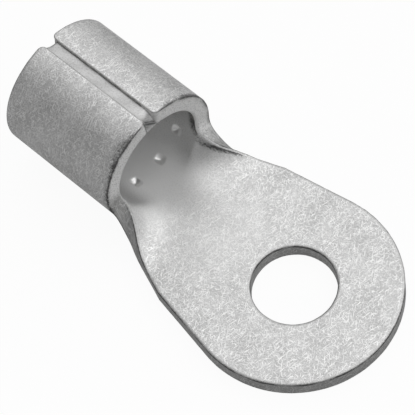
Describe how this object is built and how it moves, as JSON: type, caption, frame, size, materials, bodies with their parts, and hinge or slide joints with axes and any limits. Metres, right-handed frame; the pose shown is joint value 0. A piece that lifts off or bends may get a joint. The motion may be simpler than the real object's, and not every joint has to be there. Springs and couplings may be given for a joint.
{
  "type": "ring terminal",
  "caption": "Heavy uninsulated crimp ring terminal: a flat tongue with a stud hole, a rolled neck and a round wire barrel with a brazed butt seam.",
  "frame": {"origin": "centre of the stud hole in the plane of the tongue's underside", "axes": "+Z along the stud hole, up out of the tongue; the wire barrel lies towards -X"},
  "size_m": [0.0423, 0.0214, 0.0142],
  "materials": {
    "tin_plate": "matte tin plating"
  },
  "bodies": {
    "root": {"ring_terminal": "tin_plate"}
  },
  "joints": []
}
